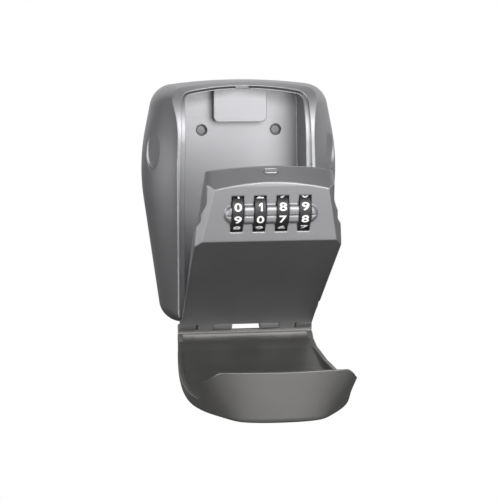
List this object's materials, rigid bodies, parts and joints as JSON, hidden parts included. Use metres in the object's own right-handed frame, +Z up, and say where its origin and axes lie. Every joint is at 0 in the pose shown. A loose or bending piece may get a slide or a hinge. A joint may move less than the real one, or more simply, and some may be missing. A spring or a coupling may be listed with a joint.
{
  "type": "combination key lock box",
  "caption": "Wall-mounted key box with a flared cast casing, a hinged lid carrying numbered combination dials and a thumb latch, and a hinged weather cover.",
  "frame": {"origin": "centre of the four wall-screw holes, on the wall face", "axes": "+X to the right when facing the box, -Y out of the wall, +Z up; at rest the lid is 48 degrees and the cover 92.5 degrees open about the bottom hinge"},
  "size_m": [0.1044, 0.1522, 0.1546],
  "materials": {
    "box_casting": "fine-textured silver-grey enamel",
    "lid_casting": "fine-textured silver-grey enamel",
    "cover_plastic": "satin dark grey",
    "cover_plate": "zinc plated",
    "steel": "zinc plated",
    "frame_steel": "plain",
    "spring_steel": "bright",
    "latch_metal": "satin grey",
    "wheel_plastic": "satin black with white figures",
    "sleeve_brass": "turned",
    "washer_plastic": "natural",
    "lever_plastic": "satin black"
  },
  "bodies": {
    "box": {"casing": "box_casting", "hinge_pin_left": "steel", "hinge_pin_right": "steel", "hinge_washers": "washer_plastic"},
    "lid": {"lid_shell": "lid_casting", "lock_cover": "cover_plate", "lock_screws": "steel", "lock_frame": "frame_steel", "dial_axle": "steel", "dial_washers": "washer_plastic", "detent_spring": "spring_steel", "latch_spring": "spring_steel"},
    "cover": {"weather_cover": "cover_plastic"},
    "latch": {"latch_slide": "latch_metal"},
    "lever": {"code_lever": "lever_plastic"},
    "dial_1": {"dial_wheel_1": "wheel_plastic", "code_sleeve_1": "sleeve_brass"},
    "dial_2": {"dial_wheel_2": "wheel_plastic", "code_sleeve_2": "sleeve_brass"},
    "dial_3": {"dial_wheel_3": "wheel_plastic", "code_sleeve_3": "sleeve_brass"},
    "dial_4": {"dial_wheel_4": "wheel_plastic", "code_sleeve_4": "sleeve_brass"}
  },
  "joints": [
    {"name": "lid_hinge", "type": "hinge", "parent": "box", "child": "lid", "pos_m": [0, -0.027, -0.065], "axis": [1, 0, 0], "range_deg": [-48, 0]},
    {"name": "cover_hinge", "type": "hinge", "parent": "lid", "child": "cover", "pos_m": [0, -0.027, -0.065], "axis": [1, 0, 0], "range_deg": [-44.5, 35]},
    {"name": "latch_slide_joint", "type": "slide", "parent": "lid", "child": "latch", "axis": [0, -0.7431, 0.6691], "range_m": [-0.0015, 0.0026], "stiffness_N_per_m": 1500, "deforming": ["latch_spring"]},
    {"name": "code_lever_hinge", "type": "hinge", "parent": "lid", "child": "lever", "pos_m": [-0.014, -0.08972, 0.01031], "axis": [0, -0.6691, -0.7431], "range_deg": [0, 90]},
    {"name": "dial_1_turn", "type": "hinge", "parent": "lid", "child": "dial_1", "pos_m": [-0.01635, -0.10419, 0.0042], "axis": [1, 0, 0], "continuous": true},
    {"name": "dial_2_turn", "type": "hinge", "parent": "lid", "child": "dial_2", "pos_m": [-0.00545, -0.10419, 0.0042], "axis": [1, 0, 0], "continuous": true},
    {"name": "dial_3_turn", "type": "hinge", "parent": "lid", "child": "dial_3", "pos_m": [0.00545, -0.10419, 0.0042], "axis": [1, 0, 0], "continuous": true},
    {"name": "dial_4_turn", "type": "hinge", "parent": "lid", "child": "dial_4", "pos_m": [0.01635, -0.10419, 0.0042], "axis": [1, 0, 0], "continuous": true}
  ]
}
